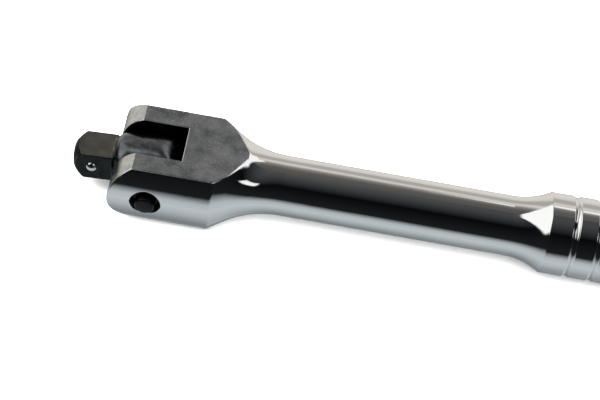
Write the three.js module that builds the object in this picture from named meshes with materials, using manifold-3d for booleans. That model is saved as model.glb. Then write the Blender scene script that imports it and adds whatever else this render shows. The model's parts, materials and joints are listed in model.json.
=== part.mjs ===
// Flex-head breaker bar for quarter-inch square drive sockets, in millimetres.
//
// Every piece is drawn about the pivot pin: the pin lies along Y through the origin, X runs from
// the drive square to the end of the grip, and Z is up, square to the two flats of the head.
// The last lines move the whole tool so that the origin is the middle of the bottom of its box.

import * as THREE from "three";
import { mergeVertices } from "three/addons/utils/BufferGeometryUtils.js";
import Module from "manifold-3d";

const wasm = await Module();
wasm.setup();

// Whole tool
const overallLength = 150;
const clearance = 0.1; // between pieces that turn or slide on each other

// Drive square and its knuckle, which together are the tang
const squareSide = 6.35;
const squareTip = -15.15;
const squareShoulder = -7.25;
const turnedTipRadius = 2.6; // flat disc left at the tip by the turned chamfer
const turnedEndLength = 2.3;
const turnedCornerRadius = 4.5; // just outside the corners of the square
const neckRadius = 3.9;
const neckLength = 0.8;
const knuckleRadius = 5.15; // about the line of the tang
const knuckleHalfWidth = 4.1; // to the flats that face the walls of the slot
const knuckleBackRadius = 5.25; // about the pin
const knuckleShoulderLength = 1.7;
const tangDroop = -4; // degrees, how far the tip hangs below the line of the bar

// Head of the bar: a short round boss with two milled flats, a slot and a rounded nose
const headRadius = 10.59;
const headEnd = 11.75;
const flatHeight = 6.45; // from the axis to each flat
const flatReach = 21.35; // the taper is thinner than the head here, so the flats have run out
const noseRadius = 7.22;
const slotHalfWidth = 4.25;
const slotFloor = 5.41;

// Taper, shank and cove, up to the grip
const shankRadius = 5.75;
const taperConeEnd = new THREE.Vector2(8.76, 14.59); // radius, distance from the pin
const taperFilletRadius = 19.6;
const coveStart = 67.55;
const coveRadius = 13.8;

// Grip: two ringed ends with the knurled length between them
const gripRadius = 7.73;
const gripStart = 74.65;
const grooveWidth = 1.3;
const grooveDepth = 0.3;
const ringGrooves = [78.9, 83.5, 120.95, 125.75]; // front edge of each groove
const gripEndRadius = 1.6;

// Pivot pin and its hole, which widens to a mouth in each ear
const pinRadius = 1.85;
const pinHalfLength = 11.5;
const pinChamfer = 0.35;
const mouthRadius = 2.9;
const mouthFloorRadius = 2.45;
const mouthDepth = 2;

// Ball that holds a socket on the square, and its spring
const ballRadius = 1.19;
const ballPlace = -11.45;
const ballStandsProud = 0.65;
const ballBoreDepth = 4.9; // from the near face of the square
const ballSpring = { radius: 0.75, wire: 0.16, turns: 5 };

// Plunger that rubs on the knuckle, so that the tang stays where it is set
const plungerRadius = 1.25;
const plungerLength = 5.2;
const plungerBoreLength = 10.5;
const plungerSpring = { radius: 0.9, wire: 0.18, turns: 5 };

const droopAngle = THREE.MathUtils.degToRad(tangDroop);
const tipReach = -squareTip * Math.cos(droopAngle) - turnedTipRadius * Math.sin(droopAngle);
const gripEnd = overallLength - tipReach;

const roundSides = 40;
const smallSides = 20;
const arcStep = THREE.MathUtils.degToRad(9);

const polishedChrome = new THREE.MeshStandardMaterial({
  name: "polished_chrome", color: 0xd9dcdd, roughness: 0.12, metalness: 1,
});
const blackOxide = new THREE.MeshStandardMaterial({
  name: "black_oxide", color: 0x34342f, roughness: 0.42, metalness: 1,
});
const bearingSteel = new THREE.MeshStandardMaterial({
  name: "bearing_steel", color: 0xc9cac8, roughness: 0.15, metalness: 1,
});
const springSteel = new THREE.MeshStandardMaterial({
  name: "spring_steel", color: 0x8f9193, roughness: 0.35, metalness: 1,
});

function solidFrom(geometry) {
  geometry.deleteAttribute("normal");
  geometry.deleteAttribute("uv");
  const merged = mergeVertices(geometry, 1e-4);
  return new wasm.Manifold(new wasm.Mesh({
    numProp: 3,
    vertProperties: new Float32Array(merged.attributes.position.array),
    triVerts: new Uint32Array(merged.index.array),
  }));
}

function geometryFrom(solid) {
  const mesh = solid.getMesh();
  const geometry = new THREE.BufferGeometry();
  geometry.setAttribute("position", new THREE.BufferAttribute(mesh.vertProperties, 3));
  geometry.setIndex(new THREE.BufferAttribute(mesh.triVerts, 1));
  geometry.computeVertexNormals();
  return geometry;
}

// Points of an arc about a centre, from one angle to another, both ends included.
function arcPoints(centreX, centreY, radius, from, to) {
  const steps = Math.max(2, Math.ceil(Math.abs(to - from) / arcStep));
  const points = [];
  for (let i = 0; i <= steps; i += 1) {
    const angle = from + ((to - from) * i) / steps;
    points.push(new THREE.Vector2(
      centreX + radius * Math.cos(angle),
      centreY + radius * Math.sin(angle),
    ));
  }
  return points;
}

// A turned shape. The points are (radius, place along the axis), and the axis is along X or Y.
function turned(points, axis, sides = roundSides) {
  const geometry = new THREE.LatheGeometry(points, sides);
  if (axis === "x") {
    geometry.rotateZ(-Math.PI / 2);
  }
  return geometry;
}

function turnedSolid(points, axis, sides) {
  return solidFrom(turned(points, axis, sides));
}

function rod(radius, start, end, axis, sides) {
  return turnedSolid([
    new THREE.Vector2(0, start),
    new THREE.Vector2(radius, start),
    new THREE.Vector2(radius, end),
    new THREE.Vector2(0, end),
  ], axis, sides);
}

// A side outline in X and Z, stretched evenly both ways along Y.
function sidePrism(outline, halfWidth) {
  const geometry = new THREE.ExtrudeGeometry(new THREE.Shape(outline), {
    depth: 2 * halfWidth, bevelEnabled: false,
  });
  geometry.translate(0, 0, -halfWidth);
  geometry.rotateX(Math.PI / 2);
  return solidFrom(geometry);
}

function block(minX, maxX, halfY, halfZ) {
  const geometry = new THREE.BoxGeometry(maxX - minX, 2 * halfY, 2 * halfZ);
  geometry.translate((minX + maxX) / 2, 0, 0);
  return solidFrom(geometry);
}

// Handle -----------------------------------------------------------------------------------------

// The fillet drops from the end of the cone to the shank, and is level where it meets the shank.
function taperPoints() {
  const turn = Math.acos(1 - (taperConeEnd.x - shankRadius) / taperFilletRadius);
  const centrePlace = taperConeEnd.y + taperFilletRadius * Math.sin(turn);
  const centreRadius = shankRadius + taperFilletRadius;
  return arcPoints(centreRadius, centrePlace, taperFilletRadius, Math.PI + turn, Math.PI);
}

function covePoints() {
  const rise = gripRadius - shankRadius;
  const turn = Math.acos(1 - rise / coveRadius);
  return arcPoints(shankRadius + coveRadius, coveStart, coveRadius, Math.PI, Math.PI - turn);
}

// A shallow round-bottomed ring groove.
function groovePoints(start) {
  return [
    new THREE.Vector2(gripRadius, start),
    new THREE.Vector2(gripRadius - grooveDepth, start + 0.35 * grooveWidth),
    new THREE.Vector2(gripRadius - grooveDepth, start + 0.65 * grooveWidth),
    new THREE.Vector2(gripRadius, start + grooveWidth),
  ];
}

function handleProfile() {
  return [
    new THREE.Vector2(0, -noseRadius - 1),
    new THREE.Vector2(headRadius, -noseRadius - 1),
    new THREE.Vector2(headRadius, headEnd),
    ...taperPoints(),
    ...covePoints(),
    new THREE.Vector2(gripRadius, gripStart + 0.3),
    ...ringGrooves.flatMap(groovePoints),
    ...arcPoints(gripRadius - gripEndRadius, gripEnd - gripEndRadius, gripEndRadius, 0, Math.PI / 2),
    new THREE.Vector2(0, gripEnd),
  ];
}

// Side view of the bar: the nose is round about the pin, and the flats run out into the taper.
function barSide() {
  const noseHalfAngle = Math.asin(flatHeight / noseRadius);
  const nose = arcPoints(0, 0, noseRadius, Math.PI - noseHalfAngle, Math.PI + noseHalfAngle);
  const outside = headRadius + 1;
  return [
    ...nose,
    new THREE.Vector2(flatReach, -flatHeight),
    new THREE.Vector2(flatReach, -outside),
    new THREE.Vector2(overallLength, -outside),
    new THREE.Vector2(overallLength, outside),
    new THREE.Vector2(flatReach, outside),
    new THREE.Vector2(flatReach, flatHeight),
  ];
}

function pinMouth(side) {
  const floor = headRadius - mouthDepth;
  const outside = headRadius + 1;
  const slant = (mouthRadius - mouthFloorRadius) / mouthDepth;
  const points = [
    new THREE.Vector2(0, floor),
    new THREE.Vector2(mouthFloorRadius, floor),
    new THREE.Vector2(mouthRadius + slant, outside),
    new THREE.Vector2(0, outside),
  ];
  const geometry = turned(points, "y");
  if (side < 0) {
    geometry.rotateX(Math.PI);
  }
  return solidFrom(geometry);
}

function handleBar() {
  const pinHole = rod(pinRadius + clearance, -headRadius - 1, headRadius + 1, "y");
  const plungerBore = rod(
    plungerRadius + clearance, slotFloor - 1, slotFloor + plungerBoreLength, "x", smallSides,
  );
  return turnedSolid(handleProfile(), "x")
    .intersect(sidePrism(barSide(), headRadius + 1))
    .subtract(block(-noseRadius - 2, slotFloor, slotHalfWidth, headRadius + 1))
    .subtract(pinHole)
    .subtract(pinMouth(-1))
    .subtract(pinMouth(1))
    .subtract(plungerBore);
}

// Tang -------------------------------------------------------------------------------------------

// The tip is turned, so the chamfer cuts furthest into the corners of the square.
function turnedTipProfile() {
  const chamferEnd = squareTip + turnedEndLength;
  const bulge = new THREE.QuadraticBezierCurve(
    new THREE.Vector2(turnedTipRadius, squareTip),
    new THREE.Vector2(turnedTipRadius + 1.2, squareTip + 0.35),
    new THREE.Vector2(turnedCornerRadius, chamferEnd),
  );
  return [
    new THREE.Vector2(0, squareTip),
    ...bulge.getPoints(4),
    new THREE.Vector2(turnedCornerRadius, squareShoulder),
    new THREE.Vector2(0, squareShoulder),
  ];
}

// A round neck, a domed shoulder and a plain round length.
function knuckleProfile() {
  const neckEnd = squareShoulder + neckLength;
  const dome = new THREE.QuadraticBezierCurve(
    new THREE.Vector2(neckRadius, neckEnd),
    new THREE.Vector2(knuckleRadius, neckEnd + 0.2),
    new THREE.Vector2(knuckleRadius, neckEnd + knuckleShoulderLength),
  );
  return [
    new THREE.Vector2(0, squareShoulder - 0.4),
    new THREE.Vector2(neckRadius, squareShoulder - 0.4),
    ...dome.getPoints(5),
    new THREE.Vector2(knuckleRadius, knuckleBackRadius + 1),
    new THREE.Vector2(0, knuckleBackRadius + 1),
  ];
}

// Side view of the knuckle: round about the pin at the back, so the plunger follows it.
function knuckleSide() {
  const front = squareShoulder - 1;
  return [
    ...arcPoints(0, 0, knuckleBackRadius, -Math.PI / 2, Math.PI / 2),
    new THREE.Vector2(front, knuckleBackRadius),
    new THREE.Vector2(front, -knuckleBackRadius),
  ];
}

function driveTang() {
  const half = squareSide / 2;
  const square = block(squareTip - 1, squareShoulder, half, half)
    .intersect(turnedSolid(turnedTipProfile(), "x"));
  const knuckle = turnedSolid(knuckleProfile(), "x")
    .intersect(sidePrism(knuckleSide(), knuckleHalfWidth));
  const ballBore = rod(ballRadius + clearance, -half - 1, -half + ballBoreDepth, "y", smallSides);
  return square
    .add(knuckle)
    .subtract(rod(pinRadius + clearance, -knuckleRadius - 1, knuckleRadius + 1, "y"))
    .subtract(shiftX(ballBore, ballPlace));
}

function shiftX(solid, distance) {
  const geometry = geometryFrom(solid);
  geometry.translate(distance, 0, 0);
  return solidFrom(geometry);
}

// Pin, ball, plunger and springs ------------------------------------------------------------------

function pivotPin() {
  return turned([
    new THREE.Vector2(0, -pinHalfLength),
    new THREE.Vector2(pinRadius - pinChamfer, -pinHalfLength),
    new THREE.Vector2(pinRadius, -pinHalfLength + pinChamfer),
    new THREE.Vector2(pinRadius, pinHalfLength - pinChamfer),
    new THREE.Vector2(pinRadius - pinChamfer, pinHalfLength),
    new THREE.Vector2(0, pinHalfLength),
  ], "y", smallSides);
}

// The nose is a dome that just clears the knuckle.
function frictionPlunger() {
  const nose = knuckleBackRadius + 2 * clearance;
  const dome = arcPoints(0, nose + plungerRadius, plungerRadius, -Math.PI / 2, 0);
  return turned([
    ...dome.map((p) => new THREE.Vector2(Math.max(0, p.x), p.y)),
    new THREE.Vector2(plungerRadius, nose + plungerLength),
    new THREE.Vector2(0, nose + plungerLength),
  ], "x", smallSides);
}

class Helix extends THREE.Curve {
  constructor(radius, length, turns) {
    super();
    this.radius = radius;
    this.length = length;
    this.turns = turns;
  }

  getPoint(t, target = new THREE.Vector3()) {
    const angle = 2 * Math.PI * this.turns * t;
    return target.set(
      this.length * t, this.radius * Math.cos(angle), this.radius * Math.sin(angle),
    );
  }
}

// A coil spring along X that starts at X = 0.
function coilSpring(spring, length) {
  const section = new THREE.Shape();
  section.absarc(0, 0, spring.wire, 0, 2 * Math.PI);
  return new THREE.ExtrudeGeometry(section, {
    extrudePath: new Helix(spring.radius, length - 2 * spring.wire, spring.turns),
    steps: spring.turns * 10,
    curveSegments: 3,
  }).translate(spring.wire, 0, 0);
}

// Assembly ---------------------------------------------------------------------------------------

function piece(name, geometry, material) {
  const mesh = new THREE.Mesh(geometry, material);
  mesh.name = name;
  return mesh;
}

const squareFace = -squareSide / 2;
const ballCentre = squareFace - ballStandsProud + ballRadius;
const ball = piece("detent_ball", new THREE.SphereGeometry(ballRadius, 16, 10), bearingSteel);
ball.position.set(ballPlace, ballCentre, 0);

const ballSpringStart = ballCentre + ballRadius + clearance;
const ballSpringLength = squareFace + ballBoreDepth - clearance - ballSpringStart;
const detentSpring = piece("detent_spring", coilSpring(ballSpring, ballSpringLength), springSteel);
detentSpring.position.set(ballPlace, ballSpringStart, 0);
detentSpring.rotation.z = Math.PI / 2;

const tang = new THREE.Group();
tang.add(piece("drive_tang", geometryFrom(driveTang()), blackOxide));
tang.add(ball);
tang.add(detentSpring);
tang.rotation.y = droopAngle;

const plungerSpringStart = knuckleBackRadius + plungerLength + 3 * clearance;
const plungerSpringLength = slotFloor + plungerBoreLength - clearance - plungerSpringStart;
const frictionSpring = piece(
  "friction_spring", coilSpring(plungerSpring, plungerSpringLength), springSteel,
);
frictionSpring.position.x = plungerSpringStart;

const breakerBar = new THREE.Group();
breakerBar.add(piece("handle_bar", geometryFrom(handleBar()), polishedChrome));
breakerBar.add(piece("pivot_pin", pivotPin(), blackOxide));
breakerBar.add(tang);
breakerBar.add(piece("friction_plunger", frictionPlunger(), bearingSteel));
breakerBar.add(frictionSpring);

const middle = (gripEnd - tipReach) / 2;
breakerBar.position.set(-middle, 0, gripRadius);

export default breakerBar;
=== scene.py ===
import json
import math

import bmesh
import bpy
import numpy as np
from mathutils import Matrix, Vector


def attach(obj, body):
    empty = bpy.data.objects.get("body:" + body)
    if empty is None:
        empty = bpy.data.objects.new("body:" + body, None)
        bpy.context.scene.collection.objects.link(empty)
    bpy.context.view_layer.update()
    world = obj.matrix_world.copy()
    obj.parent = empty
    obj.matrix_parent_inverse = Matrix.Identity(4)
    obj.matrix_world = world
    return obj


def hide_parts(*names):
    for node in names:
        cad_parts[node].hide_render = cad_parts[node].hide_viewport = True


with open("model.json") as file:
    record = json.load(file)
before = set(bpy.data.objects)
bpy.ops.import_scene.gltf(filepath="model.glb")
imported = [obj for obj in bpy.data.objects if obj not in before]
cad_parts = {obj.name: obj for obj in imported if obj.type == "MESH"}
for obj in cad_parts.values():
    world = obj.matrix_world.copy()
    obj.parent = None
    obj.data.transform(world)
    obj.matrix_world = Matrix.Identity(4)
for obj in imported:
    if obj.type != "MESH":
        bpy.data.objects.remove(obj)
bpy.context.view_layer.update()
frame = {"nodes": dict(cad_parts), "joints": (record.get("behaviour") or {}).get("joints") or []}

# Everything below is drawn in millimetres about the pivot pin, then moved to its place in metres.
knuckleJoint = next(j for j in frame["joints"] if j["name"] == "knuckle_pivot")
pivot = Vector(knuckleJoint["pos_m"])
mm = 0.001
print("stage: frame loaded,", len(frame["nodes"]), "nodes")


# Small tools for points and meshes

def smoothStep(value, low, high):
    t = np.clip((value - low) / (high - low), 0, 1)
    return t * t * (3 - 2 * t)


def eased(start, end, count, crowd="both"):
    # places from start to end, closer together at the ends where an edge will be rounded
    u = np.linspace(0, 1, count + 1)
    if crowd == "both":
        u = 0.5 - 0.5 * np.cos(np.pi * u)
    elif crowd == "start":
        u = 1 - np.cos(0.5 * np.pi * u)
    elif crowd == "end":
        u = np.sin(0.5 * np.pi * u)
    return start + (end - start) * u


def softMax(a, b, width):
    # joins two surfaces with a rounded edge about as wide as width
    overlap = np.clip(width - np.abs(a - b), 0, None)
    return np.maximum(a, b) + overlap * overlap / (4 * width)


def softMin(a, b, width):
    return -softMax(-a, -b, width)


def settleOnSurface(points, field, rounds=6):
    # slides each point along the slope of the field until it lies on the surface
    step = 1e-4
    for _ in range(rounds):
        value = field(points)
        slope = np.zeros_like(points)
        for axis in range(3):
            shift = np.zeros(3)
            shift[axis] = step
            slope[:, axis] = (field(points + shift) - field(points - shift)) / (2 * step)
        length = np.maximum((slope ** 2).sum(axis=1), 0.2)
        points = points - slope * (value / length)[:, None]
    return points


class Patches:
    def __init__(self):
        self.points = []
        self.faces = []
        self.count = 0

    def add(self, points, faces):
        self.points.append(np.asarray(points, float).reshape(-1, 3))
        self.faces += [tuple(self.count + i for i in face) for face in faces]
        self.count += len(self.points[-1])

    def addGrid(self, grid):
        rows, cols = grid.shape[:2]
        faces = [
            (r * cols + c, r * cols + c + 1, (r + 1) * cols + c + 1, (r + 1) * cols + c)
            for r in range(rows - 1)
            for c in range(cols - 1)
        ]
        self.add(grid, faces)

    def addDiamonds(self, grid):
        # split so that crossed diagonal creases both follow edges of the mesh
        rows, cols = grid.shape[:2]
        faces = []
        for r in range(rows - 1):
            for c in range(cols - 1):
                a, b = r * cols + c, r * cols + c + 1
                d, e = a + cols, b + cols
                faces += [(a, b, d), (b, e, d)] if (r + c) % 2 else [(a, b, e), (a, e, d)]
        self.add(grid, faces)

    def addFourfold(self, grid):
        # the same patch on both sides of the bar, above and below its axis
        for side in (1, -1):
            for height in (1, -1):
                self.addGrid(grid * np.array([1, side, height]))

    def allPoints(self):
        return np.concatenate(self.points)


def toRow(points):
    return points * mm + np.array(pivot)


def makeObject(name, points, faces, weldDistance=2e-4):
    mesh = bpy.data.meshes.new(name)
    mesh.from_pydata([tuple(p) for p in points], [], faces)
    work = bmesh.new()
    work.from_mesh(mesh)
    bmesh.ops.remove_doubles(work, verts=work.verts, dist=weldDistance * mm)
    bmesh.ops.dissolve_degenerate(work, edges=work.edges, dist=weldDistance * mm)
    bmesh.ops.recalc_face_normals(work, faces=work.faces)
    for face in work.faces:
        face.smooth = True
    work.to_mesh(mesh)
    work.free()
    piece = bpy.data.objects.new(name, mesh)
    bpy.context.scene.collection.objects.link(piece)
    return piece


def ringGrid(profile, sides, axis="x"):
    # a turned surface; the profile is (place along the axis, radius)
    profile = np.asarray(profile, float)
    turn = np.linspace(0, 2 * np.pi, sides + 1)
    turn[-1] = 0
    along = np.repeat(profile[:, :1], sides + 1, axis=1)
    across = profile[:, 1:] * np.cos(turn)
    up = profile[:, 1:] * np.sin(turn)
    order = {"x": (along, across, up), "y": (across, along, up)}[axis]
    return np.stack(order, axis=2)


def roundedProfile(corners, steps=5):
    # corners are (place, radius, rounding); each is replaced by a short curve with a support
    # point on either side, so the plain lengths keep flat shading
    out = []
    for i, (x, r, rounding) in enumerate(corners):
        here = np.array([x, r], float)
        if rounding <= 0 or i in (0, len(corners) - 1):
            out.append(here)
            continue
        before = np.array(corners[i - 1][:2], float) - here
        after = np.array(corners[i + 1][:2], float) - here
        reach = min(rounding, 0.45 * np.linalg.norm(before), 0.45 * np.linalg.norm(after))
        before = here + before / np.linalg.norm(before) * reach
        after = here + after / np.linalg.norm(after) * reach
        out.append(here + (before - here) * 1.1)
        for t in np.linspace(0, 1, steps + 1):
            out.append((1 - t) ** 2 * before + 2 * t * (1 - t) * here + t * t * after)
        out.append(here + (after - here) * 1.1)
    return np.array(out)


# Handle: forged head with ground flats, taper, shank and turned grip

handle = {
    "headRadius": 10.59,
    "headEnd": 11.75,
    "flatHeight": 6.45,
    "noseRadius": 7.22,
    "slotHalfWidth": 4.25,
    "slotFloor": 5.41,
    "coneEnd": 14.59,
    "coneEndRadius": 8.76,
    "filletRadius": 19.6,
    "shankRadius": 5.75,
    "shankStart": 25.35,
    "coveStart": 67.55,
    "coveRadius": 13.8,
    "gripRadius": 7.73,
    "grooves": [78.9, 83.5, 120.95, 125.75],
    "grooveWidth": 1.3,
    "grooveDepth": 0.32,
    "knurlStart": 86.4,
    "knurlTeeth": 54,
    "knurlDepth": 0.3,
    "knurlRows": 172,
    "gripEnd": 134.7,
    "endRounding": 1.6,
    "edgeWidth": 0.18,
    "buffedDepth": 0.8,
    "holeRadius": 1.95,
    "mouthRadius": 2.9,
    "mouthFloorRadius": 2.45,
    "mouthFloor": 8.59,
    "boreRadius": 1.35,
    "boreEnd": 15.91,
    "wearFrom": 12,
    "wearDeepest": 17,
    "wearEnd": 24,
    "flatsGone": 20,
}


def taperRadius(x):
    h = handle
    slope = (h["headRadius"] - h["coneEndRadius"]) / (h["coneEnd"] - h["headEnd"])
    cone = h["headRadius"] - slope * (x - h["headEnd"])
    turn = math.acos(1 - (h["coneEndRadius"] - h["shankRadius"]) / h["filletRadius"])
    filletEnd = h["coneEnd"] + h["filletRadius"] * math.sin(turn)
    back = np.clip(filletEnd - x, 0, h["filletRadius"])
    fillet = h["shankRadius"] + h["filletRadius"] - np.sqrt(h["filletRadius"] ** 2 - back ** 2)
    return np.where(x < h["coneEnd"], cone, fillet)


def wornDepth(x, steepness):
    # buffing has worn the taper down beside the end of each flat
    h = handle
    rise = smoothStep(x, h["wearFrom"], h["wearDeepest"])
    fall = 1 - smoothStep(x, h["wearDeepest"], h["wearEnd"])
    return h["buffedDepth"] * rise * fall * smoothStep(steepness, 0.55, 0.95)


def mouthRadiusAt(y):
    # a slightly tapered counterbore with the fine rings that the cutter leaves
    h = handle
    share = (np.abs(y) - h["mouthFloor"]) / (h["headRadius"] - h["mouthFloor"])
    rings = 0.03 * np.sin(2 * np.pi * np.abs(y) / 0.36)
    return h["mouthFloorRadius"] + (h["mouthRadius"] - h["mouthFloorRadius"]) * share + rings


def headField(points):
    h = handle
    x, y, z = points.T
    across = np.hypot(y, z)
    fromPin = np.hypot(x, z)
    boss = across - h["headRadius"]
    worn = wornDepth(x, np.abs(z) / np.maximum(across, 1))
    taper = 0.84 * (across - taperRadius(x) + worn)
    turned = softMax(boss, taper, 0.2)
    nose = np.where(x < 0, fromPin, np.abs(z)) - h["noseRadius"]
    outline = softMax(np.abs(z) - h["flatHeight"], nose, 0.06)
    solid = softMax(turned, outline, h["edgeWidth"])
    slot = -np.maximum(np.abs(y) - h["slotHalfWidth"], x - h["slotFloor"])
    solid = softMax(solid, slot, h["edgeWidth"])
    mouth = -np.maximum(fromPin - mouthRadiusAt(y), h["mouthFloor"] - np.abs(y))
    solid = softMax(solid, mouth, 0.14)
    solid = softMax(solid, h["holeRadius"] - fromPin, 0.08)
    bore = -np.maximum(across - h["boreRadius"], np.maximum(x - h["boreEnd"], 4 - x))
    return softMax(solid, bore, 0.08)


def headPatches(patches):
    h = handle
    flatAngle = math.asin(h["flatHeight"] / h["noseRadius"])
    nose = eased(0, flatAngle, 22, "both")
    noseX = -h["noseRadius"] * np.cos(nose)
    noseZ = h["noseRadius"] * np.sin(nose)
    flatX = eased(noseX[-1], h["slotFloor"], 24)[1:]
    backX = eased(h["slotFloor"], h["headEnd"], 20)
    outlineX = np.concatenate([noseX, flatX, backX[1:]])
    outlineZ = np.concatenate([noseZ, np.full(len(flatX) + len(backX) - 1, h["flatHeight"])])
    edgeY = np.sqrt(h["headRadius"] ** 2 - outlineZ ** 2)
    toFloor = len(noseX) + len(flatX) - 1

    # top of each ear, from the slot out to the side
    across = eased(0, 1, 12)
    stripY = h["slotHalfWidth"] + (edgeY[:, None] - h["slotHalfWidth"]) * across
    stripX = np.repeat(outlineX[:, None], len(across), axis=1)
    stripZ = np.repeat(outlineZ[:, None], len(across), axis=1)
    patches.addFourfold(np.stack([stripX, stripY, stripZ], axis=2))

    # the flat behind the slot
    middleY = eased(0, h["slotHalfWidth"], 8, "end")
    backGrid = np.meshgrid(backX, middleY, indexing="ij")
    patches.addFourfold(np.stack([*backGrid, np.full(backGrid[0].shape, h["flatHeight"])], axis=2))

    # rounded sides of the head, in rays from the pin
    backZ = eased(h["flatHeight"], 0, 16, "start")[1:]
    sideX = np.concatenate([outlineX, np.full(len(backZ), h["headEnd"])])
    sideZ = np.concatenate([outlineZ, backZ])
    rays = np.arctan2(sideZ, sideX)
    ray = eased(0, 1, 26)
    x = h["mouthRadius"] * np.cos(rays)[:, None] * (1 - ray) + sideX[:, None] * ray
    z = h["mouthRadius"] * np.sin(rays)[:, None] * (1 - ray) + sideZ[:, None] * ray
    patches.addFourfold(np.stack([x, np.sqrt(h["headRadius"] ** 2 - z ** 2), z], axis=2))

    # inner walls of the slot
    beyond = np.arange(len(rays)) > toFloor
    wallX = np.where(beyond, h["slotFloor"], sideX)
    wallZ = np.where(beyond, h["slotFloor"] * np.tan(np.where(beyond, rays, 0)), sideZ)
    ray = eased(0, 1, 16)
    x = h["holeRadius"] * np.cos(rays)[:, None] * (1 - ray) + wallX[:, None] * ray
    z = h["holeRadius"] * np.sin(rays)[:, None] * (1 - ray) + wallZ[:, None] * ray
    patches.addFourfold(np.stack([x, np.full(x.shape, h["slotHalfWidth"]), z], axis=2))

    # pin hole: counterbored mouth, its floor, then the hole
    rings = [(h["mouthRadius"], None)]
    rings += [(None, y) for y in np.linspace(h["headRadius"] - 0.3, h["mouthFloor"], 36)]
    rings += [(r, h["mouthFloor"]) for r in np.linspace(h["mouthFloorRadius"], h["holeRadius"], 7)[1:]]
    rings += [(h["holeRadius"], y) for y in eased(h["mouthFloor"], h["slotHalfWidth"], 14)[1:]]
    columns = []
    for radius, y in rings:
        radius = mouthRadiusAt(y) if radius is None else radius
        ringZ = radius * np.sin(rays)
        ringY = np.sqrt(h["headRadius"] ** 2 - ringZ ** 2) if y is None else np.full(len(rays), y)
        columns.append(np.stack([radius * np.cos(rays), ringY, ringZ], axis=1))
    patches.addFourfold(np.stack(columns, axis=1))

    # floor of the slot, with the plunger bore
    floorY = np.concatenate([middleY, np.full(beyond.sum(), h["slotHalfWidth"])])
    floorZ = np.concatenate([np.full(len(middleY), h["flatHeight"]), wallZ[beyond]])
    turn = np.arctan2(floorZ, floorY)
    ray = eased(0, 1, 10)
    y = h["boreRadius"] * np.cos(turn)[:, None] * (1 - ray) + floorY[:, None] * ray
    z = h["boreRadius"] * np.sin(turn)[:, None] * (1 - ray) + floorZ[:, None] * ray
    patches.addFourfold(np.stack([np.full(y.shape, h["slotFloor"]), y, z], axis=2))
    boreX = np.concatenate([eased(h["slotFloor"], h["boreEnd"], 16), np.full(6, h["boreEnd"])])
    boreR = np.concatenate([np.full(17, h["boreRadius"]), np.linspace(h["boreRadius"], 0, 7)[1:]])
    y = np.cos(turn)[:, None] * boreR
    z = np.sin(turn)[:, None] * boreR
    patches.addFourfold(np.stack([np.repeat(boreX[None, :], len(turn), axis=0), y, z], axis=2))

    # taper, in sections whose points follow the shrinking edge of the flat
    startY = np.concatenate([middleY, stripY[-1][1:]])
    startAngle = np.concatenate([
        np.arctan2(h["flatHeight"], startY),
        np.arctan2(backZ, np.sqrt(h["headRadius"] ** 2 - backZ ** 2)),
    ])
    evenAngle = np.linspace(np.pi / 2, 0, len(startAngle))
    stations = np.concatenate([
        eased(h["headEnd"], h["flatsGone"], 60, "start"),
        np.linspace(h["flatsGone"], h["shankStart"], 18)[1:],
    ])
    edgeStart = math.asin(h["flatHeight"] / h["headRadius"])
    rows = []
    for place in stations:
        turned = min(h["headRadius"], float(taperRadius(np.array(place))))
        atEdge = turned
        for _ in range(8):
            atEdge = turned - float(wornDepth(place, min(1, h["flatHeight"] / atEdge)))
        edge = min(math.asin(min(1, h["flatHeight"] / atEdge)), math.radians(76))
        onFlat = np.pi / 2 - (np.pi / 2 - startAngle) * (np.pi / 2 - edge) / (np.pi / 2 - edgeStart)
        onSide = startAngle * edge / edgeStart
        tracked = np.where(startAngle >= edgeStart - 1e-9, onFlat, onSide)
        settle = smoothStep(place, 18, h["shankStart"])
        angle = (1 - settle) * tracked + settle * evenAngle
        radius = np.minimum(turned, h["flatHeight"] / np.maximum(np.sin(angle), 0.05))
        rows.append(np.stack([
            np.full(len(angle), place), radius * np.cos(angle), radius * np.sin(angle),
        ], axis=1))
    patches.addFourfold(np.stack(rows))
    return 4 * (len(startAngle) - 1)


def grooveCorners(start):
    h = handle
    width = h["grooveWidth"]
    floor = h["gripRadius"] - h["grooveDepth"]
    bottom = [
        (start + share * width, floor + h["grooveDepth"] * (2 * share - 1) ** 2, 0.12)
        for share in (0.18, 0.34, 0.46)
    ]
    mirrored = [(2 * start + width - x, r, rounding) for x, r, rounding in reversed(bottom)]
    middle = (start + width / 2, floor - 0.09, 0.05)
    lip = (start, h["gripRadius"], 0.09)
    endLip = (start + width, h["gripRadius"], 0.09)
    return [lip, *bottom, middle, *mirrored, endLip]


def knurlGrid(sides):
    # crossed spiral cuts leave rows of small pyramids; each cut passes exactly through the points
    h = handle
    pitch = 2 * math.pi * h["gripRadius"] / h["knurlTeeth"]
    perTooth = sides // h["knurlTeeth"]
    lead = pitch / math.tan(math.radians(30))
    row = np.arange(h["knurlRows"] + 1)[:, None]
    col = np.arange(sides + 1)[None, :] % sides
    x = h["knurlStart"] + row * lead / perTooth + 0 * col
    turn = 2 * np.pi * col / sides + 0 * row
    oneWay = np.abs(2 * (((col + row) / perTooth) % 1) - 1)
    otherWay = np.abs(2 * (((col - row) / perTooth) % 1) - 1)
    peak = np.clip(np.minimum(oneWay, otherWay) * 1.35, 0, 1)
    ends = np.minimum(row, h["knurlRows"] - row) / (0.6 * perTooth)
    depth = h["knurlDepth"] * np.clip(ends, 0, 1)
    radius = h["gripRadius"] - depth * (1 - peak)
    return np.stack([x, radius * np.cos(turn), radius * np.sin(turn)], axis=2)


def addSeam(patches, coarse, fine):
    # joins an even ring to a finer ring whose points split each of its steps
    ratio = (len(fine) - 1) // (len(coarse) - 1)
    count = len(coarse)
    faces = [
        (i, i + 1, *[count + ratio * (i + 1) - k for k in range(ratio + 1)])
        for i in range(count - 1)
    ]
    patches.add(np.concatenate([coarse, fine]), faces)


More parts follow.
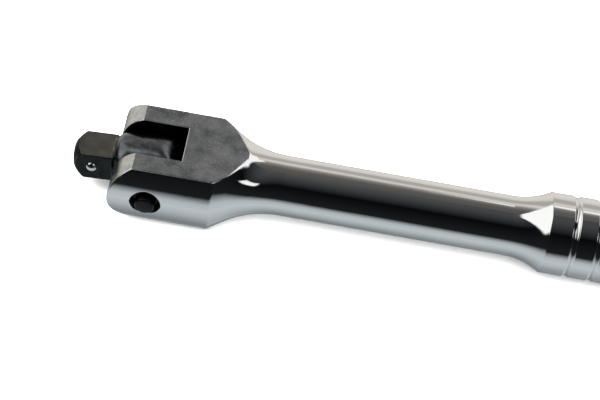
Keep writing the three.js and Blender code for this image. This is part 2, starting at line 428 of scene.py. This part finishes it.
def buildHandle():
    h = handle
    patches = Patches()
    sides = headPatches(patches)
    rise = h["gripRadius"] - h["shankRadius"]
    turn = math.acos(1 - rise / h["coveRadius"])
    cove = [
        (h["coveStart"] + h["coveRadius"] * math.sin(a),
         h["shankRadius"] + h["coveRadius"] * (1 - math.cos(a)), 0)
        for a in np.linspace(0, turn, 30)
    ]
    cove[-1] = (*cove[-1][:2], 0.18)
    shank = [(x, h["shankRadius"], 0) for x in np.linspace(h["shankStart"], h["coveStart"], 20)[:-1]]
    front = shank + cove
    for start in h["grooves"][:2]:
        front += grooveCorners(start)
    front += [(h["knurlStart"] - 0.2, h["gripRadius"], 0)]
    knurl = knurlGrid(8 * h["knurlTeeth"])
    knurlEnd = knurl[-1, 0, 0]
    back = [(knurlEnd + 0.2, h["gripRadius"], 0)]
    for start in h["grooves"][2:]:
        back += grooveCorners(start)
    endCentre = h["gripEnd"] - h["endRounding"]
    back += [
        (endCentre + h["endRounding"] * math.sin(a),
         h["gripRadius"] - h["endRounding"] * (1 - math.cos(a)), 0)
        for a in np.linspace(0, math.pi / 2, 14)
    ]
    endDisc = h["gripRadius"] - h["endRounding"]
    back += [(h["gripEnd"], endDisc * share, 0) for share in (0.97, 0.6, 0.3, 0)]
    frontGrid = ringGrid(roundedProfile(front), sides)
    backGrid = ringGrid(roundedProfile(back), sides)
    patches.addGrid(frontGrid)
    patches.addDiamonds(knurl)
    patches.addGrid(backGrid)
    addSeam(patches, frontGrid[-1], knurl[0])
    addSeam(patches, backGrid[0], knurl[-1])
    points = patches.allPoints()
    forged = points[:, 0] < h["shankStart"] - 0.01
    points[forged] = settleOnSurface(points[forged], headField)
    piece = makeObject("chromed_handle", toRow(points), patches.faces)
    print("stage: handle,", len(piece.data.polygons), "faces")
    return piece


# Tang: square drive, neck and knuckle, one piece

tang = {
    "halfSide": 3.175,
    "tip": -15.15,
    "coneStart": -13.1,
    "coneRadius": 4.56,
    "coneSlope": 0.95,
    "shoulder": -7.25,
    "neckRadius": 3.9,
    "neckEnd": -7.05,
    "domeEnd": -4.7,
    "knuckleRadius": 5.15,
    "knuckleHalfWidth": 4.1,
    "knuckleBackRadius": 5.25,
    "edgeWidth": 0.22,
    "ballPlace": -11.45,
    "ballBoreRadius": 1.25,
    "ballBoreFloor": 1.725,
    "droop": -4.0,
    "voxel": 0.11,
}


def tangField(points):
    t = tang
    x, y, z = points.T
    across = np.hypot(y, z)
    square = softMax(np.abs(y), np.abs(z), t["edgeWidth"]) - t["halfSide"]
    past = np.clip(t["coneStart"] - x, 0, None)
    cone = 0.7 * (across - t["coneRadius"] + t["coneSlope"] * past + 0.06 * past ** 2)
    drive = softMax(square, cone, 0.2)
    drive = softMax(drive, t["tip"] - x, 0.5)
    drive = softMax(drive, x - t["shoulder"], 0.2)
    share = np.clip((t["domeEnd"] - x) / (t["domeEnd"] - t["neckEnd"]), 0, 1)
    dome = np.sqrt(1 - share ** 2)
    radius = t["neckRadius"] + (t["knuckleRadius"] - t["neckRadius"]) * dome
    knuckle = 0.85 * (across - radius)
    knuckle = softMax(knuckle, t["shoulder"] - 0.4 - x, 0.05)
    rear = np.where(x > 0, np.hypot(x, z), np.abs(z)) - t["knuckleBackRadius"]
    knuckle = softMax(knuckle, rear, 0.6)
    knuckle = softMax(knuckle, np.abs(y) - t["knuckleHalfWidth"], 0.3)
    solid = softMin(drive, knuckle, 0.12)
    solid = softMax(solid, handle["holeRadius"] - np.hypot(x, z), 0.15)
    depth = y + t["halfSide"]
    rim = t["ballBoreRadius"] + 0.06 * np.clip(1 - depth / 0.2, 0, 1.5)
    bore = -np.maximum(np.hypot(x - t["ballPlace"], z) - rim, y - t["ballBoreFloor"])
    return softMax(solid, bore, 0.08)


def droopMatrix():
    # turns the tang from straight to how it hangs, about the pin
    return Matrix.Rotation(math.radians(tang["droop"]), 3, "Y")


def buildTang():
    # starts from the plain tang, cut finely and then settled on its true rounded shape
    plain = frame["nodes"]["drive_tang"].data
    points = np.zeros(len(plain.vertices) * 3)
    plain.vertices.foreach_get("co", points)
    points = (points.reshape(-1, 3) - np.array(pivot)) / mm
    turn = np.array(droopMatrix())
    points = points @ turn
    coarse = bpy.data.meshes.new("tang_coarse")
    coarse.from_pydata([tuple(p) for p in points], [], [tuple(f.vertices) for f in plain.polygons])
    work = bmesh.new()
    work.from_mesh(coarse)
    bmesh.ops.remove_doubles(work, verts=work.verts, dist=1e-3)
    work.to_mesh(coarse)
    work.free()
    holder = bpy.data.objects.new("tang_coarse", coarse)
    bpy.context.scene.collection.objects.link(holder)
    remesh = holder.modifiers.new("fine", "REMESH")
    remesh.mode = "VOXEL"
    remesh.voxel_size = tang["voxel"]
    ready = holder.evaluated_get(bpy.context.evaluated_depsgraph_get()).to_mesh()
    points = np.zeros(len(ready.vertices) * 3)
    ready.vertices.foreach_get("co", points)
    faces = [tuple(f.vertices) for f in ready.polygons]
    points = settleOnSurface(points.reshape(-1, 3), tangField, rounds=10)
    bpy.data.objects.remove(holder)
    piece = makeObject("drive_square_and_knuckle", toRow(points @ turn.T), faces)
    print("stage: tang,", len(piece.data.polygons), "faces")
    return piece


# Pin, ball, plunger and springs

pin = {"radius": 1.85, "halfLength": 11.48, "edge": 0.35, "crown": 0.15}
ball = {"radius": 1.19, "place": -11.45, "centre": -2.635}
plunger = {"radius": 1.25, "nose": 5.45, "length": 5.2}


def buildPin():
    # lightly crowned ends, as a headed and ground pin has
    p = pin
    edgeCentre = p["halfLength"] - p["crown"] - p["edge"]
    half = [(edgeCentre * share, p["radius"]) for share in np.linspace(0, 1, 8)]
    half += [
        (edgeCentre + p["edge"] * math.sin(a), p["radius"] - p["edge"] * (1 - math.cos(a)))
        for a in np.linspace(0, math.radians(80), 8)[1:]
    ]
    rim = half[-1]
    half += [
        (rim[0] + (p["halfLength"] - rim[0]) * (1 - share ** 2), rim[1] * share)
        for share in np.linspace(1, 0, 9)[1:]
    ]
    profile = [(-y, r) for y, r in reversed(half)] + half[1:]
    patches = Patches()
    patches.addGrid(ringGrid(profile, 72, "y"))
    return makeObject("pivot_pin_crowned", toRow(patches.allPoints()), patches.faces)


def buildBall():
    b = ball
    sphere = bmesh.new()
    bmesh.ops.create_icosphere(sphere, subdivisions=5, radius=b["radius"])
    points = np.array([v.co for v in sphere.verts]) + np.array([b["place"], b["centre"], 0])
    faces = [tuple(v.index for v in f.verts) for f in sphere.faces]
    sphere.free()
    return makeObject("detent_ball_bright", toRow(points @ np.array(droopMatrix()).T), faces)


def buildPlunger():
    p = plunger
    centre = p["nose"] + p["radius"]
    profile = [
        (centre - p["radius"] * math.cos(a), p["radius"] * math.sin(a))
        for a in np.linspace(0, math.pi / 2, 14)
    ]
    end = p["nose"] + p["length"]
    profile += [(end - 0.15, p["radius"]), (end, p["radius"] - 0.15), (end, 0)]
    patches = Patches()
    patches.addGrid(ringGrid(profile, 48))
    return makeObject("friction_plunger_domed", toRow(patches.allPoints()), patches.faces)


def buildSpring(name, start, length, radius, wire, turns):
    # a compression coil along X; its end turns lie closer than the working ones
    steps = turns * 32
    share = np.linspace(0, 1, steps + 1)
    angle = 2 * np.pi * turns * share
    pace = share - 0.5 / turns * np.sin(2 * np.pi * share) / np.pi * turns * 0.12
    centre = np.stack([
        start + wire + (length - 2 * wire) * pace, radius * np.cos(angle), radius * np.sin(angle),
    ], axis=1)
    ahead = np.gradient(centre, axis=0)
    ahead /= np.linalg.norm(ahead, axis=1)[:, None]
    outward = np.stack([0 * angle, np.cos(angle), np.sin(angle)], axis=1)
    third = np.cross(ahead, outward)
    around = np.linspace(0, 2 * np.pi, 13)
    around[-1] = 0
    grid = (centre[:, None, :]
            + wire * np.cos(around)[None, :, None] * outward[:, None, :]
            + wire * np.sin(around)[None, :, None] * third[:, None, :])
    caps = [np.repeat(end[None, None, :], 13, axis=1) for end in (centre[0], centre[-1])]
    patches = Patches()
    patches.addGrid(np.concatenate([caps[0], grid, caps[1]], axis=0))
    return patches


# Finishes

def hexColour(code):
    # sRGB hex to the linear colour that shader sockets take
    parts = [int(code[i:i + 2], 16) / 255 for i in (0, 2, 4)]
    linear = [c / 12.92 if c <= 0.04045 else ((c + 0.055) / 1.055) ** 2.4 for c in parts]
    return (*linear, 1)


def addNode(tree, kind, inputs=None, **settings):
    # inputs may be plain values, or sockets of other nodes to link from
    node = tree.nodes.new(kind)
    for name, value in settings.items():
        setattr(node, name, value)
    for name, value in (inputs or {}).items():
        if isinstance(value, bpy.types.NodeSocket):
            tree.links.new(value, node.inputs[name])
        else:
            node.inputs[name].default_value = value
    return node


def metalFinish(s):
    material = bpy.data.materials.new(s["name"])
    material.use_nodes = True
    tree = material.node_tree
    tree.nodes.clear()
    place = addNode(tree, "ShaderNodeTexCoord").outputs["Object"]

    def noise(size, stretch, detail, seed):
        # size is the width of one patch in mm; stretch draws it out along the bar
        scale = [1 / (size * mm * k) for k in stretch]
        moved = addNode(tree, "ShaderNodeMapping", {
            "Vector": place, "Location": (seed, 2.3 * seed, 0), "Scale": scale,
        })
        return addNode(tree, "ShaderNodeTexNoise", {
            "Vector": moved.outputs[0], "Scale": 1, "Detail": detail, "Roughness": 0.55,
        }).outputs["Fac"]

    tone = noise(s["toneSize"], (1, 1, 1), 3, 1.7)
    colour = addNode(tree, "ShaderNodeValToRGB", {"Fac": tone})
    colour.color_ramp.elements[0].position = 0.3
    colour.color_ramp.elements[1].position = 0.7
    colour.color_ramp.elements[0].color = hexColour(s["darkColour"])
    colour.color_ramp.elements[1].color = hexColour(s["lightColour"])
    colour = colour.outputs[0]
    haze = noise(s["hazeSize"], s.get("hazeStretch", (1, 1, 1)), 4, 5.1)
    rough = addNode(tree, "ShaderNodeMapRange", {
        "Value": haze, "From Min": 0.35, "From Max": 0.65,
        "To Min": s["roughness"][0], "To Max": s["roughness"][1],
    }).outputs[0]
    if "specks" in s:
        # small grains that catch more light
        spot = noise(s["specks"]["size"], (1, 1, 1), 1, 9.4)
        spot = addNode(tree, "ShaderNodeMapRange", {
            "Value": spot, "From Min": s["specks"]["from"], "From Max": s["specks"]["from"] + 0.05,
        }).outputs[0]
        colour = addNode(tree, "ShaderNodeMix", {
            "Factor": spot, 6: colour, 7: hexColour(s["specks"]["colour"]),
        }, data_type="RGBA").outputs[2]
    if "wear" in s:
        # edges and high spots rubbed through to brighter metal
        edge = addNode(tree, "ShaderNodeNewGeometry").outputs["Pointiness"]
        rubbed = noise(s["wear"]["size"], (1, 1, 1), 4, 3.3)
        edge = addNode(tree, "ShaderNodeMath", {0: rubbed, 1: 0.12, 2: edge}, operation="MULTIPLY_ADD")
        edge = addNode(tree, "ShaderNodeMapRange", {
            "Value": edge.outputs[0], "From Min": s["wear"]["from"], "From Max": s["wear"]["to"],
            "To Max": s["wear"]["amount"],
        }).outputs[0]
        colour = addNode(tree, "ShaderNodeMix", {
            "Factor": edge, 6: colour, 7: hexColour(s["wear"]["colour"]),
        }, data_type="RGBA").outputs[2]
    normal = None
    for layer in s["relief"]:
        height = noise(layer["size"], layer.get("stretch", (1, 1, 1)), layer.get("detail", 2), 7.9)
        inputs = {"Height": height, "Distance": layer["depth"] * mm}
        if normal is not None:
            inputs["Normal"] = normal
        normal = addNode(tree, "ShaderNodeBump", inputs).outputs[0]
    shader = addNode(tree, "ShaderNodeBsdfPrincipled", {
        "Base Color": colour, "Metallic": 1, "Roughness": rough, "Normal": normal,
    })
    addNode(tree, "ShaderNodeOutputMaterial", {"Surface": shader.outputs[0]})
    return material


def facesFacing(piece):
    # middle of each face in mm about the pin, and the way it faces
    count = len(piece.data.polygons)
    centres = np.zeros(count * 3)
    normals = np.zeros(count * 3)
    piece.data.polygons.foreach_get("center", centres)
    piece.data.polygons.foreach_get("normal", normals)
    return (centres.reshape(-1, 3) - np.array(pivot)) / mm, normals.reshape(-1, 3)


def setFinishes(piece, finishes, choice):
    for finish in finishes:
        piece.data.materials.append(finish)
    piece.data.polygons.foreach_set("material_index", choice.astype(np.int32))


# gives the eye a hard mirror with a faint haze and a slight waviness from buffing
polishedChrome = metalFinish({
    "name": "polished chrome plate",
    "darkColour": "C2C4C5",
    "lightColour": "C8C8C7",
    "toneSize": 14,
    "hazeSize": 5,
    "hazeStretch": (3, 1, 1),
    "roughness": (0.03, 0.07),
    "relief": [
        {"size": 3.2, "stretch": (2.5, 1, 1), "depth": 0.018},
        {"size": 1.1, "stretch": (1.6, 1, 1), "depth": 0.003},
        {"size": 0.12, "depth": 0.0012},
    ],
})

# gives the eye a flat, slightly cloudy grey with fine grain and a few paler specks
groundChrome = metalFinish({
    "name": "chrome over ground steel",
    "darkColour": "55585C",
    "lightColour": "808387",
    "toneSize": 3.2,
    "hazeSize": 0.9,
    "roughness": (0.24, 0.38),
    "specks": {"size": 0.22, "from": 0.68, "colour": "AEB1B3"},
    "relief": [
        {"size": 0.11, "stretch": (1, 3, 1), "depth": 0.006},
        {"size": 0.6, "depth": 0.008},
    ],
})

# gives the eye a pale satin band on the round of the nose
noseChrome = metalFinish({
    "name": "satin chrome on the nose",
    "darkColour": "9A9C9C",
    "lightColour": "B6B8B6",
    "toneSize": 1.2,
    "hazeSize": 0.8,
    "roughness": (0.24, 0.34),
    "relief": [{"size": 0.1, "stretch": (3, 1, 3), "depth": 0.005}],
})

# gives the eye a duller, thinly plated wall inside the slot, its colour darkened to near black as
# painted shade
slotChromeWithPaintedShade = metalFinish({
    "name": "thin slot chrome with painted shade",
    "darkColour": "171716",
    "lightColour": "282826",
    "toneSize": 1.8,
    "hazeSize": 0.7,
    "roughness": (0.3, 0.45),
    "relief": [{"size": 0.14, "stretch": (1, 1, 4), "depth": 0.008}],
})

# gives the eye slightly brown cutter rings around the pin: the brown is residue, the dark of the
# recess is painted shade
mouthResidueAndPaintedShade = metalFinish({
    "name": "residue and painted shade in the pin mouth",
    "darkColour": "2E2C22",
    "lightColour": "5A563F",
    "toneSize": 0.8,
    "hazeSize": 0.5,
    "roughness": (0.3, 0.5),
    "relief": [{"size": 0.1, "depth": 0.006}],
})

# gives the eye a soft near-black with a brown cast and brighter rubbed edges
blackOxide = metalFinish({
    "name": "black oxide on machined steel",
    "darkColour": "42423D",
    "lightColour": "565751",
    "toneSize": 3.2,
    "hazeSize": 1.1,
    "roughness": (0.34, 0.44),
    "wear": {"size": 0.7, "from": 0.59, "to": 0.67, "amount": 0.6, "colour": "99968C"},
    "relief": [
        {"size": 0.1, "stretch": (1, 2, 2), "depth": 0.005},
        {"size": 0.9, "depth": 0.01},
    ],
})

# gives the eye a darker black: the pin's own dark oxide, and painted shade on the tang's near face and
# the end of the square
darkOxideAndPaintedShade = metalFinish({
    "name": "dark oxide with painted shade",
    "darkColour": "171918",
    "lightColour": "252726",
    "toneSize": 2.1,
    "hazeSize": 0.9,
    "roughness": (0.3, 0.42),
    "wear": {"size": 0.7, "from": 0.58, "to": 0.66, "amount": 0.6, "colour": "6E6C66"},
    "relief": [
        {"size": 0.1, "stretch": (1, 2, 2), "depth": 0.005},
        {"size": 0.9, "depth": 0.01},
    ],
})

# gives the eye the smoother sheen, blue on brown, of the turned and rubbed knuckle
knuckleOxide = metalFinish({
    "name": "rubbed black oxide on the knuckle",
    "darkColour": "3E3B38",
    "lightColour": "666C73",
    "toneSize": 2.2,
    "hazeSize": 0.8,
    "roughness": (0.2, 0.3),
    "relief": [
        {"size": 0.16, "stretch": (1, 14, 14), "depth": 0.004},
        {"size": 1.1, "depth": 0.01},
    ],
})

# gives the eye a bright ball that still shows a soft highlight
bearingSteel = metalFinish({
    "name": "lapped bearing steel",
    "darkColour": "BDBEBC",
    "lightColour": "CDCECB",
    "toneSize": 1.5,
    "hazeSize": 0.6,
    "roughness": (0.09, 0.16),
    "relief": [{"size": 0.08, "depth": 0.001}],
})

# gives the eye a drawn wire grey
springSteel = metalFinish({
    "name": "drawn spring wire",
    "darkColour": "85868A",
    "lightColour": "9A9B9C",
    "toneSize": 0.9,
    "hazeSize": 0.4,
    "roughness": (0.28, 0.4),
    "relief": [{"size": 0.06, "stretch": (3, 1, 1), "depth": 0.002}],
})
print("stage: finishes,", len(bpy.data.materials), "materials")


# Pieces on their bodies

chromedHandle = buildHandle()
centre, facing = facesFacing(chromedHandle)
fromAxis = np.hypot(centre[:, 1], centre[:, 2])
fromPin = np.hypot(centre[:, 0], centre[:, 2])
finish = np.zeros(len(centre))
onFlat = np.abs(centre[:, 2]) > handle["flatHeight"] - 0.06
onFlat = onFlat & (centre[:, 0] < handle["flatsGone"] - 1)
finish[onFlat & (np.abs(facing[:, 2]) > 0.985)] = 1
nose = (fromPin > handle["noseRadius"] - 0.1) & (centre[:, 0] < 0) & (np.abs(centre[:, 2]) < 6.47)
finish[nose & (np.hypot(facing[:, 0], facing[:, 2]) > 0.95) & (finish == 0)] = 4
inSlot = (np.abs(centre[:, 1]) < handle["slotHalfWidth"] + 0.05) & (np.abs(centre[:, 2]) < 6.4)
# the slot walls, slot floor and plunger bore take near-black chrome as painted shade of the recess
finish[inSlot & (centre[:, 0] < handle["slotFloor"] + 0.02)] = 2
finish[(centre[:, 0] < handle["boreEnd"] + 0.1) & (fromAxis < 1.5)] = 2
# the pin's mouth and hole take a dark colour as painted shade of the recess, with a brown cast for
# residue
finish[(fromPin < 2.78) & (np.abs(centre[:, 1]) > handle["slotHalfWidth"] + 0.1)] = 3
setFinishes(
    chromedHandle, [polishedChrome, groundChrome, slotChromeWithPaintedShade, mouthResidueAndPaintedShade, noseChrome], finish,
)
knurled = (centre[:, 0] > handle["knurlStart"]) & (centre[:, 0] < handle["grooves"][2] - 0.3)
chromedHandle.data.polygons.foreach_set("use_smooth", ~knurled)

driveTang = buildTang()
centre, facing = facesFacing(driveTang)
centre = centre @ np.array(droopMatrix())
# the near face (towards -Y) and the end of the square take the darker oxide as painted shade
finish = np.where(facing[:, 1] < -0.6, 1, 0)
finish[(centre[:, 0] < tang["tip"] + 2.4) & (facing[:, 0] < -0.25)] = 1
finish[centre[:, 0] > tang["neckEnd"] + 0.1] = 2
setFinishes(driveTang, [blackOxide, darkOxideAndPaintedShade, knuckleOxide], finish)
pivotPin = buildPin()
pivotPin.data.materials.append(darkOxideAndPaintedShade)
detentBall = buildBall()
detentBall.data.materials.append(bearingSteel)
frictionPlunger = buildPlunger()
frictionPlunger.data.materials.append(bearingSteel)

coil = buildSpring("friction", 10.75, 5.06, 0.9, 0.18, 6)
frictionSpring = makeObject("friction_spring_coil", toRow(coil.allPoints()), coil.faces)
frictionSpring.data.materials.append(springSteel)
coil = buildSpring("detent", -1.345, 2.97, 0.75, 0.16, 5)
alongX = coil.allPoints()
alongY = np.stack([alongX[:, 1] + ball["place"], alongX[:, 0], alongX[:, 2]], axis=1)
detentSpring = makeObject(
    "detent_spring_coil", toRow(alongY @ np.array(droopMatrix()).T), coil.faces,
)
detentSpring.data.materials.append(springSteel)

for piece, body, node, slot in (
    (chromedHandle, "handle", "handle_bar", "polished_chrome"),
    (pivotPin, "handle", "pivot_pin", "black_oxide"),
    (frictionSpring, "handle", "friction_spring", "spring_steel"),
    (driveTang, "tang", "drive_tang", "black_oxide"),
    (detentSpring, "tang", "detent_spring", "spring_steel"),
    (detentBall, "ball", "detent_ball", "bearing_steel"),
    (frictionPlunger, "plunger", "friction_plunger", "bearing_steel"),
):
    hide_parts(node)
    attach(piece, body)
print("stage: pieces ride their bodies")


# Studio: a wrap of light and dark panels that the chrome mirrors, over a pale floor

studio = {
    "tableTint": "DCE5E9",
    "frontTint": "DCE3E9",
    "backTint": "FFF9F1",
    "background": "F7F7F6",
    "frontLevels": [(-90, 0.34), (-75, 0.52), (-58, 0.76), (-42, 0.92), (-26, 0.8), (-17, 0.42),
                    (-9, 0.02), (45, 0.004), (68, 0.06), (90, 0.12)],
    "backLevels": [(-90, 0.32), (-60, 0.34), (-34, 0.4), (-22, 0.9), (0, 1.1), (14, 1), (22, 0.64),
                   (34, 0.66), (42, 1.1), (54, 0.36), (66, 0.17), (90, 0.12)],
    "behind": {"turn": (-62, 44), "soft": 9},
    "panels": [
        {"turn": (-128, -38), "height": (26, 84), "level": 1.7, "soft": 4},
        {"turn": (106, 142), "height": (36, 52), "level": 1.6, "soft": 3},
        {"turn": (17, 78), "height": (33, 56), "level": 1.6, "soft": 3},
        {"turn": (9, 40), "height": (48, 54), "level": 1.6, "soft": 2.5},
    ],
}


def buildWorld():
    s = studio
    world = bpy.data.worlds.new("studio")
    bpy.context.scene.world = world
    world.use_nodes = True
    tree = world.node_tree
    tree.nodes.clear()
    toSky = addNode(tree, "ShaderNodeTexCoord").outputs["Generated"]
    x, y, z = addNode(tree, "ShaderNodeSeparateXYZ", {0: toSky}).outputs

    def degrees(inputs, operation):
        angle = addNode(tree, "ShaderNodeMath", inputs, operation=operation).outputs[0]
        inDegrees = {0: angle, 1: 180 / math.pi}
        return addNode(tree, "ShaderNodeMath", inDegrees, operation="MULTIPLY").outputs[0]

    # height above the horizon, and turn to the right of straight behind the bar
    height = degrees({0: z}, "ARCSINE")
    turn = degrees({0: x, 1: y}, "ARCTAN2")

    def between(value, low, high, soft):
        rise = addNode(tree, "ShaderNodeMapRange", {
            "Value": value, "From Min": low - soft, "From Max": low + soft,
        }, interpolation_type="SMOOTHSTEP").outputs[0]
        fall = addNode(tree, "ShaderNodeMapRange", {
            "Value": value, "From Min": high - soft, "From Max": high + soft, "To Min": 1, "To Max": 0,
        }, interpolation_type="SMOOTHSTEP").outputs[0]
        return addNode(tree, "ShaderNodeMath", {0: rise, 1: fall}, operation="MULTIPLY").outputs[0]

    def levels(stops, tint):
        share = addNode(tree, "ShaderNodeMapRange", {
            "Value": height, "From Min": -90, "From Max": 90,
        }).outputs[0]
        ramp = addNode(tree, "ShaderNodeValToRGB", {"Fac": share})
        while len(ramp.color_ramp.elements) < len(stops):
            ramp.color_ramp.elements.new(0.5)
        for element, (angle, level) in zip(ramp.color_ramp.elements, stops):
            element.position = (angle + 90) / 180
            colour = hexColour(tint if angle > -25 else s["tableTint"])
            colour = [c / colour[1] for c in colour[:3]]
            element.color = (level * colour[0], level * colour[1], level * colour[2], 1)
        return ramp.outputs[0]

    front = levels(s["frontLevels"], s["frontTint"])
    back = levels(s["backLevels"], s["backTint"])
    behind = between(turn, *s["behind"]["turn"], s["behind"]["soft"])
    wrap = addNode(tree, "ShaderNodeMix", {
        "Factor": behind, 6: front, 7: back,
    }, data_type="RGBA").outputs[2]
    for panel in s["panels"]:
        level = panel["level"]
        mask = addNode(tree, "ShaderNodeMath", {
            0: between(turn, *panel["turn"], panel["soft"]),
            1: between(height, *panel["height"], panel["soft"]),
        }, operation="MULTIPLY").outputs[0]
        wrap = addNode(tree, "ShaderNodeMix", {
            "Factor": mask, 6: wrap, 7: (level, level, 0.98 * level, 1),
        }, data_type="RGBA").outputs[2]
    lit = addNode(tree, "ShaderNodeBackground", {"Color": wrap, "Strength": 1})
    plain = addNode(tree, "ShaderNodeBackground", {"Color": hexColour(s["background"]), "Strength": 1})
    seen = addNode(tree, "ShaderNodeLightPath").outputs["Is Camera Ray"]
    both = addNode(tree, "ShaderNodeMixShader", {0: seen, 1: lit.outputs[0], 2: plain.outputs[0]})
    addNode(tree, "ShaderNodeOutputWorld", {"Surface": both.outputs[0]})


def buildFloor():
    patches = Patches()
    width = np.linspace(-1.5, 1.5, 3)
    x, y = np.meshgrid(width, width, indexing="ij")
    patches.addGrid(np.stack([x, y, 0 * x], axis=2))
    floor = makeObject("studio_floor", patches.allPoints(), patches.faces)
    # the chrome mirrors the panels instead
    floor.visible_glossy = False
    paper = bpy.data.materials.new("matt white paper")
    paper.use_nodes = True
    shader = paper.node_tree.nodes["Principled BSDF"]
    shader.inputs["Base Color"].default_value = hexColour("F4F4F3")
    shader.inputs["Roughness"].default_value = 0.9
    shader.inputs["Specular IOR Level"].default_value = 0.1
    floor.data.materials.append(paper)


def addSoftLight(name, place, size, energy):
    light = bpy.data.lights.new(name, "AREA")
    light.shape = "DISK"
    light.size = size
    light.energy = energy
    lamp = bpy.data.objects.new(name, light)
    lamp.location = place
    lamp.rotation_mode = "QUATERNION"
    lamp.rotation_quaternion = (-Vector(place)).to_track_quat("-Z", "Y")
    # lights the floor only; the panels do the metal
    lamp.visible_glossy = False
    lamp.visible_camera = False
    bpy.context.scene.collection.objects.link(lamp)


cameraPlace = {
    "azimuth": -0.68,
    "elevation": 48.16,
    "roll": 10.55,
    "aim": (28.17, -2.89, 0),
    "distance": 360.15,
    "lens": 115.34,
}


def buildCamera():
    c = cameraPlace
    around = math.radians(c["azimuth"])
    above = math.radians(c["elevation"])
    roll = math.radians(c["roll"])
    back = Vector((
        math.sin(around) * math.cos(above), -math.cos(around) * math.cos(above), math.sin(above),
    ))
    level = Vector((math.cos(around), math.sin(around), 0))
    upright = back.cross(level)
    right = math.cos(roll) * level + math.sin(roll) * upright
    up = -math.sin(roll) * level + math.cos(roll) * upright
    data = bpy.data.cameras.new("camera")
    data.lens = c["lens"]
    data.sensor_width = 36
    data.clip_start = 0.01
    camera = bpy.data.objects.new("camera", data)
    place = pivot + (Vector(c["aim"]) + back * c["distance"]) * mm
    turned = Matrix((right, up, back)).transposed().to_4x4()
    camera.matrix_world = Matrix.Translation(place) @ turned
    bpy.context.scene.collection.objects.link(camera)
    bpy.context.scene.camera = camera


buildWorld()
buildFloor()
addSoftLight("overhead", (-0.2, 0.1, 1.6), 3.0, 150)
addSoftLight("fill", (0.6, -1.4, 1.2), 2.4, 60)
buildCamera()
bpy.context.scene.view_settings.view_transform = "Standard"
print("stage: studio and camera")
